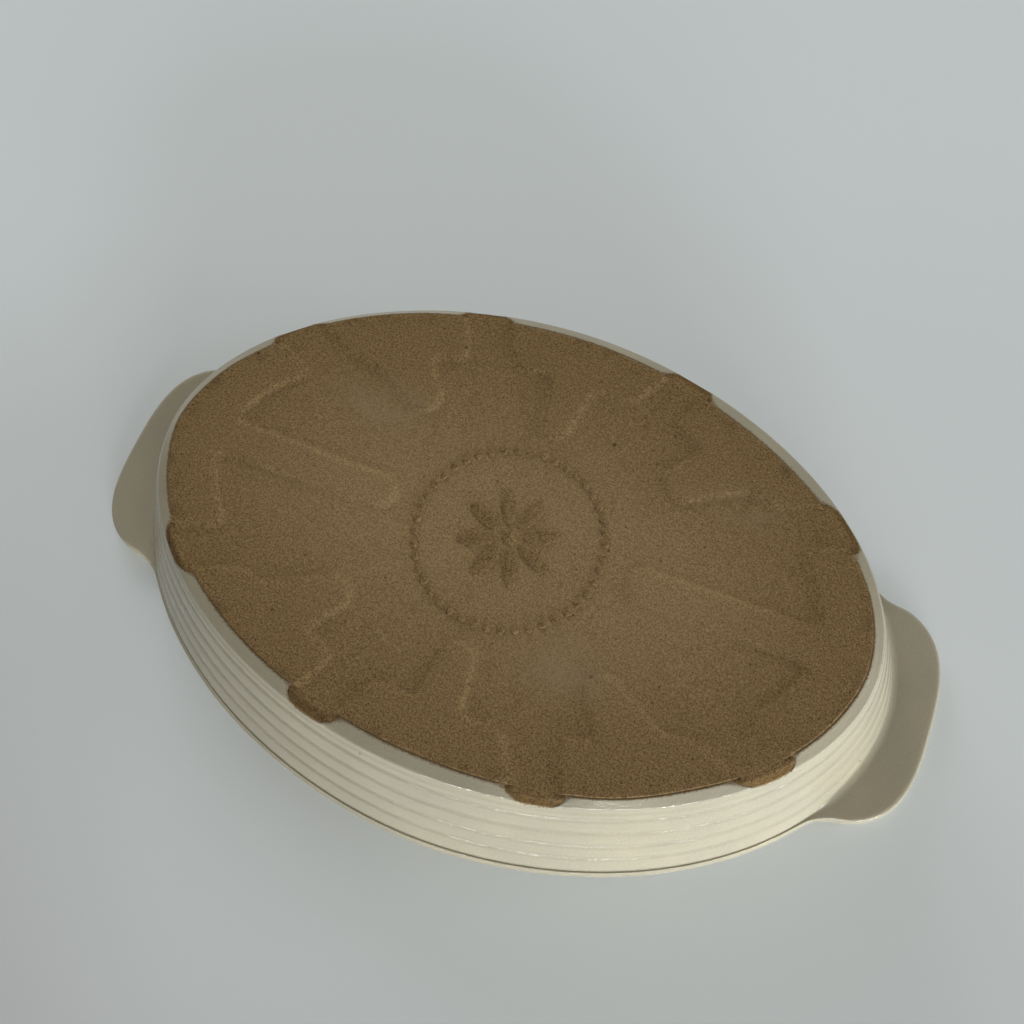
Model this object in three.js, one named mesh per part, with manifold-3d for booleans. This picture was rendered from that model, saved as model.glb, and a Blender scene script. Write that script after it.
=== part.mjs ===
// Oval stoneware baking dish: bare clay body, cream glaze coat over its ribbed wall and rim, two lug handles.
// Millimetres. +Z points up out of the mouth, +X runs along the dish through both handles.
// The origin is under the middle of the dish, in the plane of the foot that it stands on.

import * as THREE from 'three';
import { mergeVertices } from 'three/addons/utils/BufferGeometryUtils.js';
import Module from 'manifold-3d';

const wasm = await Module();
wasm.setup();

// The oval: every level of the dish is this outline, grown or shrunk by the same amount all round
const baseLength = 262;
const baseWidth = 171;
const ovalExponent = 1.92; // 2 is a true ellipse, less draws the shoulders in
const outlineSteps = 72;

// Heights
const height = 50;
const floorThickness = 6.5;
const reliefDepth = 1.2; // from the foot's plane up to the recessed field

// Wall, rim and coat
const rimFlare = 19.5; // how far the rim's lip stands out from the base edge
const wallThickness = 7; // level through the finished wall, from its inside to the flat of a band
const floorFillet = 12;
const filletSteps = 4;
const lipHeight = 3.4;
const lipReach = 1.5; // lip beyond the wall below it
const rimRounding = 1.6;
const coatThickness = 0.7;
const coatDrop = 4; // how far the coat runs down inside the rim
const seatGap = 0.3;

// Ribs of the wall: shallow grooves part it into flat bands
const firstGrooveHeight = 9.8;
const groovePitch = 8.9;
const grooveWidth = 2.6;
const grooveDepth = 0.8;
const lipGrooveWidth = 1.8;

// Ledge: the glazed slope round the base
const ledgeWidth = 5;
const ledgeRise = 2.5;
const ledgeStart = 0.6; // the coat begins this far above the foot's plane
const ledgeRounding = 0.8;

// Relief of the base: a foot ring, fingers from it to the middle, and channels out through it
const footRingWidth = 21.5;
const channelWidth = 16;
const endChannelAngle = 22.8;
const sideChannelAngle = 63.1;
const tabClimb = 0.7; // how far the bare clay of a channel climbs the wall past the ledge
const longFinger = { angle: 0, tip: 43, tipWidth: 12, rootWidth: 12.5 };
const crossFinger = { angle: 90, tip: 40.5, tipWidth: 11, rootWidth: 16 };
const diagonalFinger = { angle: 39.5, tip: 57, tipWidth: 13, rootWidth: 22 };
const fingerTipSteps = 6;
const cutMargin = 3; // how far a cutting shape runs past what it cuts
const sliverWidth = 0.02; // corners closer than this, left where shapes cross, become one

// Handles
const handleReach = 14.5; // beyond the rim's lip
const handleWidth = 89;
const handleRoot = 23; // from the rim's end back to where the handle is widest
const handleExponent = 3; // 2 is a half ellipse, more squares its corners
const handleThickness = 5;
const handleRounding = 1.2;
const handleRoundingSteps = 2;
const handleSteps = 28;

const stoneware = new THREE.MeshStandardMaterial({ color: '#9a7b52', roughness: 0.9, metalness: 0 });
const creamGlaze = new THREE.MeshStandardMaterial({ color: '#cfc7b2', roughness: 0.25, metalness: 0 });

const radians = THREE.MathUtils.degToRad;
const halfWidth = baseWidth / 2;
const longSpread = (baseLength - baseWidth) / 2; // by how much the long half axis is the longer one

// A cosine or sine raised to the power that turns a circle into the oval
function ovalPower(value) {
  return Math.sign(value) * Math.abs(value) ** (2 / ovalExponent);
}

// Distance from the middle to the oval of a given short half axis, in one direction
function ovalRadius(shortHalf, angle) {
  const along = Math.abs(Math.cos(angle) / (shortHalf + longSpread)) ** ovalExponent;
  const across = Math.abs(Math.sin(angle) / shortHalf) ** ovalExponent;
  return (along + across) ** (-1 / ovalExponent);
}

// Moves each point of an open outline to its left by a distance, keeping its stretches parallel
function shifted(outline, distance) {
  const normals = outline.slice(1).map((point, i) => {
    const run = new THREE.Vector2().subVectors(point, outline[i]).normalize();
    return new THREE.Vector2(-run.y, run.x);
  });
  return outline.map((point, i) => {
    const before = normals[Math.max(i - 1, 0)];
    const after = normals[Math.min(i, normals.length - 1)];
    const middle = new THREE.Vector2().addVectors(before, after).normalize();
    return point.clone().addScaledVector(middle, distance / middle.dot(after));
  });
}

// A solid with only shared corners, ready to be joined or cut
function solidOf(geometry) {
  geometry.deleteAttribute('normal');
  geometry.deleteAttribute('uv');
  const merged = mergeVertices(geometry);
  const corners = merged.index.array;
  const triangles = [];
  for (let i = 0; i < corners.length; i += 3) {
    const [a, b, c] = corners.slice(i, i + 3);
    if (a !== b && b !== c && c !== a) triangles.push(a, b, c);
  }
  const mesh = new wasm.Mesh({
    numProp: 3,
    vertProperties: new Float32Array(merged.attributes.position.array),
    triVerts: new Uint32Array(triangles),
  });
  return new wasm.Manifold(mesh);
}

// Turns a section, drawn across the dish's width, round the oval
function ovalLathe(section) {
  const geometry = new THREE.LatheGeometry(section, outlineSteps);
  const corners = geometry.attributes.position;
  for (let i = 0; i < corners.count; i += 1) {
    const step = Math.floor(i / section.length) % outlineSteps;
    const angle = (2 * Math.PI * step) / outlineSteps;
    const { x: shortHalf, y: level } = section[i % section.length];
    const longHalf = shortHalf === 0 ? 0 : shortHalf + longSpread;
    corners.setXYZ(i, longHalf * ovalPower(Math.cos(angle)), shortHalf * ovalPower(Math.sin(angle)), level);
  }
  return solidOf(geometry);
}

// A flat shape made a plate between two levels
function plate(shape, bottom, top) {
  const geometry = new THREE.ExtrudeGeometry(shape, {
    depth: top - bottom,
    bevelEnabled: false,
    curveSegments: fingerTipSteps,
  });
  geometry.translate(0, 0, bottom);
  return geometry;
}

function meshOf(solid, name, material) {
  const { vertProperties, triVerts } = solid.simplify(sliverWidth).getMesh();
  const geometry = new THREE.BufferGeometry();
  geometry.setAttribute('position', new THREE.BufferAttribute(vertProperties, 3));
  geometry.setIndex(new THREE.BufferAttribute(triVerts, 1));
  geometry.computeVertexNormals();
  const mesh = new THREE.Mesh(geometry, material);
  mesh.name = name;
  return mesh;
}

// A corner of a section: how far from the middle across the dish, and how high
const at = (shortHalf, level) => new THREE.Vector2(shortHalf, level);

// The finished outer wall is a straight slope from the ledge's edge to just under the lip
const lipBottom = height - lipHeight;
const wallSlope = (rimFlare - lipReach) / (lipBottom - ledgeRise);
const wallAt = (level) => halfWidth + (level - ledgeRise) * wallSlope;
const rimOut = halfWidth + rimFlare;
const rimIn = wallAt(height) - wallThickness;

// Outline of the glazed surface, from the ledge up the wall and over the rim
function glazedOutline() {
  const outline = [
    at(halfWidth - ledgeWidth, ledgeStart),
    at(halfWidth - ledgeRounding, ledgeRise - (ledgeRounding * (ledgeRise - ledgeStart)) / ledgeWidth),
    at(wallAt(ledgeRise + ledgeRounding), ledgeRise + ledgeRounding),
  ];
  const lipGrooveStart = lipBottom - lipGrooveWidth;
  for (let level = firstGrooveHeight; level + grooveWidth < lipGrooveStart; level += groovePitch) {
    outline.push(at(wallAt(level - grooveWidth / 2), level - grooveWidth / 2));
    outline.push(at(wallAt(level) - grooveDepth, level));
    outline.push(at(wallAt(level + grooveWidth / 2), level + grooveWidth / 2));
  }
  outline.push(
    at(wallAt(lipGrooveStart), lipGrooveStart),
    at(wallAt(lipBottom) - grooveDepth, lipBottom),
    at(rimOut, lipBottom + rimRounding / 2),
    at(rimOut, height - rimRounding),
    at(rimOut - rimRounding, height),
    at(rimIn + rimRounding, height),
    at(rimIn, height - rimRounding),
    at(rimIn - wallSlope * (coatDrop - rimRounding), height - coatDrop),
  );
  return outline;
}

const glazed = glazedOutline();
const seat = shifted(glazed, coatThickness + seatGap);
const floorTop = reliefDepth + floorThickness;

// Fingers are raised, so they are left standing when the field between them is cut away
function fingers({ angle, tip, tipWidth, rootWidth }) {
  const root = ovalRadius(halfWidth - footRingWidth, radians(angle)) + cutMargin;
  const shape = new THREE.Shape();
  shape.moveTo(root, -rootWidth / 2);
  shape.lineTo(root, rootWidth / 2);
  shape.lineTo(tip + tipWidth / 2, tipWidth / 2);
  shape.absarc(tip + tipWidth / 2, 0, tipWidth / 2, Math.PI / 2, (3 * Math.PI) / 2, false);
  return mirroredAngles(angle).map((turn) => {
    return solidOf(plate(shape, -2 * cutMargin, reliefDepth + cutMargin).rotateZ(radians(turn)));
  });
}

// The same direction in each quarter of the dish
function mirroredAngles(angle) {
  return [...new Set([angle, 180 - angle, 180 + angle, (360 - angle) % 360])];
}

// Bars along the channels, from inside the foot ring out past the base edge
function channelBars(width, bottom, top) {
  return [endChannelAngle, sideChannelAngle].flatMap(mirroredAngles).map((turn) => {
    const inner = ovalRadius(halfWidth - footRingWidth - cutMargin, radians(turn));
    const outer = ovalRadius(halfWidth + cutMargin, radians(turn));
    const shape = new THREE.Shape();
    shape.moveTo(inner, -width / 2);
    shape.lineTo(outer, -width / 2);
    shape.lineTo(outer, width / 2);
    shape.lineTo(inner, width / 2);
    return solidOf(plate(shape, bottom, top).rotateZ(radians(turn)));
  });
}

const joined = (solids) => solids.reduce((sum, solid) => sum.add(solid));

// Everything inside the glazed surface, grown by a clearance, up past the rim
function filledDish(clearance) {
  const grown = shifted(glazed, -clearance);
  const outside = grown.slice(0, grown.findIndex(({ y }) => y >= height - rimRounding) + 1);
  const { x: lipEdge } = outside.at(-1);
  const top = height + cutMargin;
  return ovalLathe([at(0, ledgeStart), ...outside, at(lipEdge, top), at(0, top)]);
}

function clayBody() {
  const footEdge = halfWidth - ledgeWidth - seatGap;
  const innerWallAt = (level) => rimIn - (height - level) * wallSlope;
  const lean = Math.atan(wallSlope);
  // The fillet's circle touches the floor and the sloping inner wall
  const filletLevel = floorTop + floorFillet;
  const filletShort = innerWallAt(filletLevel) - floorFillet / Math.cos(lean);
  const fillet = [];
  for (let i = 0; i <= filletSteps; i += 1) {
    const angle = -lean - ((Math.PI / 2 - lean) * i) / filletSteps;
    fillet.push(at(filletShort + floorFillet * Math.cos(angle), filletLevel + floorFillet * Math.sin(angle)));
  }
  const rebate = height - coatDrop - seatGap;
  const section = [
    at(0, 0),
    at(footEdge, 0),
    at(footEdge, seat[0].y),
    ...seat.slice(1, -1),
    at(seat.at(-1).x, rebate),
    at(innerWallAt(rebate), rebate),
    ...fillet,
    at(0, floorTop),
  ];
  const tabTop = ledgeRise + tabClimb;
  const tabs = joined(channelBars(channelWidth - 2 * seatGap, -cutMargin, tabTop - seatGap));
  const bareTabs = filledDish(0).intersect(tabs);
  const innerOval = ovalLathe([
    at(0, -cutMargin),
    at(halfWidth - footRingWidth, -cutMargin),
    at(halfWidth - footRingWidth, reliefDepth),
    at(0, reliefDepth),
  ]);
  const standing = [longFinger, crossFinger, diagonalFinger].flatMap(fingers);
  const channels = joined(channelBars(channelWidth, -cutMargin, reliefDepth));
  const field = innerOval.add(channels).subtract(joined(standing));
  return ovalLathe(section).add(bareTabs).subtract(field);
}

function glazeCoat() {
  const inside = shifted(glazed, coatThickness);
  const coat = ovalLathe([...glazed, ...inside.reverse(), glazed[0].clone()]);
  return coat.subtract(joined(channelBars(channelWidth, -cutMargin, ledgeRise + tabClimb)));
}

// Half of a squared-off oval, wide side towards the dish
function handleLug() {
  const centre = rimOut + longSpread - handleRoot;
  const depth = handleRoot + handleReach;
  const shape = new THREE.Shape();
  for (let i = 0; i <= handleSteps; i += 1) {
    const angle = -Math.PI / 2 + (Math.PI * i) / handleSteps;
    const power = 2 / handleExponent;
    const x = centre + depth * Math.abs(Math.cos(angle)) ** power;
    const y = (handleWidth / 2) * Math.sign(angle) * Math.abs(Math.sin(angle)) ** power;
    if (i === 0) shape.moveTo(x, y);
    else shape.lineTo(x, y);
  }
  const lug = new THREE.ExtrudeGeometry(shape, {
    depth: handleThickness - 2 * handleRounding,
    bevelThickness: handleRounding,
    bevelSize: handleRounding,
    bevelOffset: -handleRounding,
    bevelSegments: handleRoundingSteps,
  });
  lug.translate(0, 0, height - handleThickness + handleRounding);
  return lug;
}

function handle(name, turn) {
  const lug = solidOf(handleLug().rotateZ(turn));
  return meshOf(lug.subtract(filledDish(seatGap)), name, creamGlaze);
}

const dish = new THREE.Group();
dish.add(meshOf(clayBody(), 'stoneware_body', stoneware));
dish.add(meshOf(glazeCoat(), 'glaze_coat', creamGlaze));
dish.add(handle('right_handle', 0));
dish.add(handle('left_handle', Math.PI));

export default dish;
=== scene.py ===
"""Looks of an oval stoneware baking dish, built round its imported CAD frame.

In the frame the dish stands on its foot: +Z points out of its mouth and +X runs through its handles.
The main view shows it turned over, lying on its rim, so that view's camera and lamps are below it.
"""

import logging
import math
from dataclasses import dataclass
from enum import Enum
from typing import Any

import bmesh
import bpy
from bmesh.types import BMEdge, BMesh, BMVert
from bpy.types import ID, Material, Node, NodeSocket, NodeTree, Object
from mathutils import Matrix, Vector, noise


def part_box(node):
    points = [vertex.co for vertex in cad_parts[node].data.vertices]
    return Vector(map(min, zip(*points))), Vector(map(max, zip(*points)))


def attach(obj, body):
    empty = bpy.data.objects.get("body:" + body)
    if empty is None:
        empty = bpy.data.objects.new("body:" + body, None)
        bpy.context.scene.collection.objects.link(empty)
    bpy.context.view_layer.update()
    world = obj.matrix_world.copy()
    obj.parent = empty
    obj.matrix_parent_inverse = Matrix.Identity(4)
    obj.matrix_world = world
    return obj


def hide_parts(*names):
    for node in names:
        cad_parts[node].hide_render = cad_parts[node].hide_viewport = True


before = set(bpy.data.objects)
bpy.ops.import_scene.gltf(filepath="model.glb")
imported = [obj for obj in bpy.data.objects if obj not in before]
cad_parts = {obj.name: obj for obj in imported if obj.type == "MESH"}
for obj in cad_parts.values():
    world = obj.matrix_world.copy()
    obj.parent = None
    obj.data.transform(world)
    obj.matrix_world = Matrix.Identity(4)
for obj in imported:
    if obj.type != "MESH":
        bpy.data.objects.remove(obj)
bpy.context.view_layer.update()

LOG = logging.getLogger("dish")
MM = 0.001  # sizes below are in millimetres, and Blender's are in metres
FULL_TURN = 2 * math.pi


class Facing(Enum):
    """Which way a floor faces in the frame."""

    UP = 1
    DOWN = -1


class Detail(Enum):
    """How many rows a stretch of the dish's section gets."""

    FINE = 1
    COARSE = 0


def clamp01(value: float) -> float:
    """The value, held between 0 and 1."""
    return min(1.0, max(0.0, value))


def smoothstep(low: float, high: float, value: float) -> float:
    """A soft step from 0 at low to 1 at high."""
    share = clamp01((value - low) / (high - low))
    return share * share * (3 - 2 * share)


def lerp(start: float, end: float, share: float) -> float:
    """The value at a share of the way from start to end."""
    return start + (end - start) * share


def soft_min(a: float, b: float, radius: float) -> float:
    """The smaller of two distances, with the corner between them rounded."""
    share = clamp01(0.5 + 0.5 * (b - a) / radius)
    return lerp(b, a, share) - radius * share * (1 - share)


def soft_max(a: float, b: float, radius: float) -> float:
    """The larger of two distances, with the corner between them rounded."""
    return -soft_min(-a, -b, radius)


@dataclass(frozen=True)
class Waver:
    """Smooth irregularity over the plan.

    Attributes:
        amount: How far it goes either way.
        length: About how far apart its humps are, mm.
        seed: Picks one of many patterns.
    """

    amount: float
    length: float
    seed: float

    def at(self, spot: Vector) -> float:
        """The irregularity at a plan point."""
        return self.amount * noise.noise(Vector((spot.x / self.length, spot.y / self.length, self.seed)))


def steps(count: int) -> list[float]:
    """Shares from 0 to 1, both ends included, in count equal steps."""
    return [i / count for i in range(count + 1)]


def srgb(code: str) -> tuple[float, float, float, float]:
    """Linear colour of an sRGB hex code such as #aabbcc."""
    values = [int(code[i : i + 2], 16) / 255 for i in (1, 3, 5)]
    linear = [v / 12.92 if v <= 0.04045 else ((v + 0.055) / 1.055) ** 2.4 for v in values]
    return (linear[0], linear[1], linear[2], 1.0)


def per_mm(size: float) -> float:
    """Texture scale at which a pattern repeats about every size millimetres."""
    return 1 / (size * MM)


# Sockets of the Mix node, and its settings, when it mixes colours
MIX_SHARE, MIX_A, MIX_B, MIX_OUT = 0, 6, 7, 2
COLOURS: dict[str, Any] = {"out": MIX_OUT, "data_type": "RGBA"}


def feed(tree: NodeTree, node: Node, links: dict[Any, Any]) -> None:
    """Gives each input of a node that is named a plain value, or the output that feeds it."""
    for name, value in links.items():
        if isinstance(value, NodeSocket):
            tree.links.new(value, node.inputs[name])
        else:
            node.inputs[name].default_value = value


def add(
    tree: NodeTree, kind: str, links: dict[Any, Any], out: int | str = 0, **settings: Any
) -> NodeSocket:
    """Adds a node, sets it up and links it.

    Args:
        tree: The node tree it goes in.
        kind: The node's type, without the words ShaderNode before it.
        links: For each input, a plain value or the output that feeds it.
        out: The output that is wanted.
        settings: Values of the node's own properties.

    Returns:
        The output.
    """
    node = tree.nodes.new(f"ShaderNode{kind}")
    for name, value in settings.items():
        setattr(node, name, value)
    feed(tree, node, links)
    return node.outputs[out]


def new_material(name: str) -> tuple[Material, NodeTree, NodeSocket]:
    """A new material, its node tree, and the place on the piece that its patterns go by."""
    made = bpy.data.materials.new(name)
    made.use_nodes = True
    tree = made.node_tree
    return made, tree, add(tree, "TexCoord", {}, "Object")


@dataclass(frozen=True)
class Tones:
    """Cloudy differences of tone.

    Attributes:
        size: About how large the clouds are, mm.
        detail: How much finer detail they have.
        amount: How much they show, from 0 to 1.
        reach: How far the noise goes from its mean to its darkest or lightest tone.
    """

    size: float
    detail: float
    amount: float
    reach: float

    def over(self, tree: NodeTree, place: Any, colour: Any, dark: str, light: str) -> NodeSocket:
        """The colour with these tones mixed in."""
        texture = add(tree, "TexNoise", {"Vector": place, "Scale": per_mm(self.size), "Detail": self.detail})
        ends = {"From Min": 0.5 - self.reach, "From Max": 0.5 + self.reach}
        share = add(tree, "MapRange", {"Value": texture, **ends})
        tone = add(tree, "Mix", {MIX_SHARE: share, MIX_A: srgb(dark), MIX_B: srgb(light)}, **COLOURS)
        return add(tree, "Mix", {MIX_SHARE: self.amount, MIX_A: colour, MIX_B: tone}, **COLOURS)


@dataclass(frozen=True)
class Specks:
    """Single specks, one in some of the cells of a net.

    Attributes:
        spacing: The net's spacing, mm.
        bare: The share of its cells that stay bare.
        size: A speck's radius, as a share of the spacing.
        strength: How much they show, from 0 to 1.
    """

    spacing: float
    bare: float
    size: float
    strength: float

    def over(self, tree: NodeTree, place: Any, colour: Any, bare: Any, tone: str) -> NodeSocket:
        """The colour with these specks on it; bare gives the share of bare cells."""
        cells = add(tree, "TexVoronoi", {"Vector": place, "Scale": per_mm(self.spacing)}, "Distance")
        fade = {"From Min": self.size, "From Max": self.size / 2, "To Max": self.strength}
        near = add(tree, "MapRange", {"Value": cells, **fade})
        chosen = add(tree, "Math", {0: cells.node.outputs["Color"], 1: bare}, operation="GREATER_THAN")
        share = add(tree, "Math", {0: near, 1: chosen}, operation="MULTIPLY")
        return add(tree, "Mix", {MIX_SHARE: share, MIX_A: colour, MIX_B: srgb(tone)}, **COLOURS)


@dataclass(frozen=True)
class Oval:
    """The plan outline that every level of the dish shares.

    Attributes:
        spread: How much longer its half length is than its half width, mm.
        exponent: 2 is a true ellipse, less draws the shoulders in.
    """

    spread: float
    exponent: float

    def point(self, half_width: float, turn: float) -> Vector:
        """A point of the outline.

        Args:
            half_width: The level's half width, mm.
            turn: The outline's own angle, from 0 at the right end.

        Returns:
            The point in plan, mm.
        """
        power = 2 / self.exponent
        along = math.copysign(abs(math.cos(turn)) ** power, math.cos(turn))
        across = math.copysign(abs(math.sin(turn)) ** power, math.sin(turn))
        return Vector(((half_width + self.spread) * along, half_width * across, 0.0))

    def turn_of(self, half_width: float, x: float, y: float) -> float:
        """The outline's own angle in the direction of a plan point."""
        power = self.exponent / 2
        along = math.copysign(abs(x / (half_width + self.spread)) ** power, x)
        across = math.copysign(abs(y / half_width) ** power, y)
        return math.atan2(across, along)

    def inside(self, half_width: float, x: float, y: float) -> float:
        """How far inside the outline a plan point lies, mm; negative outside."""
        length, power = half_width + self.spread, self.exponent
        along, across = abs(x) / length, abs(y) / half_width
        level = (along**power + across**power) ** (1 / power)
        if level < 1e-6:
            return half_width
        scale = level ** (1 - power)
        steepness = (along ** (power - 1) * scale / length, across ** (power - 1) * scale / half_width)
        return (1 - level) / math.hypot(*steepness)


@dataclass(frozen=True)
class Finger:
    """A raised finger of the base, from the foot ring towards the middle.

    Attributes:
        angle: Its direction from the middle, degrees.
        tip: How far its tip is from the middle, mm.
        tip_width: Its width at the tip, mm.
        root_width: Its width at the foot ring, mm.
        root: How far its root is from the middle, mm.
    """

    angle: float
    tip: float
    tip_width: float
    root_width: float
    root: float

    def distance(self, x: float, y: float) -> float:
        """How far outside the finger a plan point lies, mm; negative on it."""
        turn = math.radians(self.angle)
        along = x * math.cos(turn) + y * math.sin(turn)
        across = abs(y * math.cos(turn) - x * math.sin(turn))
        start = self.tip + self.tip_width / 2
        if along < start:
            return math.hypot(along - start, across) - self.tip_width / 2
        share = (along - start) / (self.root - start)
        return across - lerp(self.tip_width, self.root_width, share) / 2


@dataclass(frozen=True)
class DishForm:
    """The sizes that the clay and its glaze share, mm.

    Attributes:
        oval: The plan outline.
        height: From the foot to the rim.
        rim: Half width at the rim's lip.
        reach: From the middle to a handle's end.
        handle_half: Half width of a handle.
    """

    oval: Oval
    height: float
    rim: float
    reach: float
    handle_half: float
    flare: float = 19.5
    lip_reach: float = 1.5
    lip_height: float = 3.4
    wall_thickness: float = 7.0
    ledge_width: float = 5.0
    ledge_rise: float = 2.5
    ledge_start: float = 0.4
    edge_radius: float = 1.6
    floor_top: float = 7.7
    floor_fillet: float = 12.0
    rim_rounding: float = 1.6
    coat_drop: float = 4.0
    lip_thickness: float = 3.1
    lug_thickness: float = 5.0
    lug_root: float = 23.0
    lug_exponent: float = 3.0
    lug_fillet: float = 3.2
    channel_width: float = 16.0
    end_channel: float = 22.8
    side_channel: float = 63.1
    odd_channel: float = 2.2
    flange_level: float = 44.8
    blend_turn: float = math.radians(37.0)
    lug_samples: int = 200
    rim_samples: int = 100
    blend_steps: int = 96
    blend_smoothing: int = 40

    @property
    def base(self) -> float:
        """Half width at the base edge."""
        return self.rim - self.flare

    @property
    def slope(self) -> float:
        """How far the wall leans out for each millimetre up."""
        return (self.flare - self.lip_reach) / (self.height - self.lip_height - self.ledge_rise)

    @property
    def rim_inside(self) -> float:
        """Half width of the mouth."""
        return self.wall(self.height) - self.wall_thickness

    def wall(self, level: float) -> float:
        """Half width of the outer wall's line at a level."""
        return self.base + (level - self.ledge_rise) * self.slope

    def inner_wall(self, level: float) -> float:
        """Half width of the inner wall at a level."""
        return self.rim_inside - (self.height - level) * self.slope

    def channel_offset(self, x: float, y: float) -> float:
        """How far a plan point is from the middle line of the nearest channel of the base."""
        offsets = []
        for angle in self.channel_angles(x, y):
            turn = math.radians(angle)
            offsets.append(abs(abs(y) * math.cos(turn) - abs(x) * math.sin(turn)))
        return min(offsets)

    def channel_angles(self, x: float, y: float) -> tuple[float, float]:
        """Degrees of both channels in a plan point's quarter; in one quarter, one lies further round."""
        odd = self.odd_channel if x < 0 and y < 0 else 0.0
        return self.end_channel + odd, self.side_channel

    def flange_edge(self) -> list[Vector]:
        """Outer edge of the rim over a quarter of the dish's handle end.

        Returns:
            Points from the handle's middle round its corner to the plain rim, evenly spaced.
        """
        centre = self.rim + self.oval.spread - self.lug_root
        power = 2 / self.lug_exponent
        line = []
        for share in steps(self.lug_samples):
            turn = share * math.pi / 2
            x = centre + (self.reach - centre) * math.cos(turn) ** power
            y = self.handle_half * math.sin(turn) ** power
            if self.oval.inside(self.rim, x, y) > 0:
                break
            line.append(Vector((x, y, 0.0)))
        first = self.oval.turn_of(self.rim, line[-1].x, line[-1].y)
        turns = [lerp(first, self.blend_turn, share) for share in steps(self.rim_samples)[1:]]
        line += [self.oval.point(self.rim, turn) for turn in turns]
        line = evenly_spaced(line, self.blend_steps)
        for _ in range(self.blend_smoothing):
            mirrored = Vector((line[1].x, -line[1].y, 0.0))
            before = [mirrored] + line[:-2]
            middle = [(a + 2 * b + c) / 4 for a, b, c in zip(before, line[:-1], line[1:])]
            line = middle + [line[-1]]
        return line


def evenly_spaced(line: list[Vector], count: int) -> list[Vector]:
    """The same line with count equal steps along it."""
    lengths = [0.0]
    for a, b in zip(line, line[1:]):
        lengths.append(lengths[-1] + (b - a).length)
    spaced, i = [], 0
    for share in steps(count):
        wanted = share * lengths[-1]
        while i < len(line) - 2 and lengths[i + 1] < wanted:
            i += 1
        run = max(lengths[i + 1] - lengths[i], 1e-9)
        spaced.append(line[i].lerp(line[i + 1], clamp01((wanted - lengths[i]) / run)))
    return spaced


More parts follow.
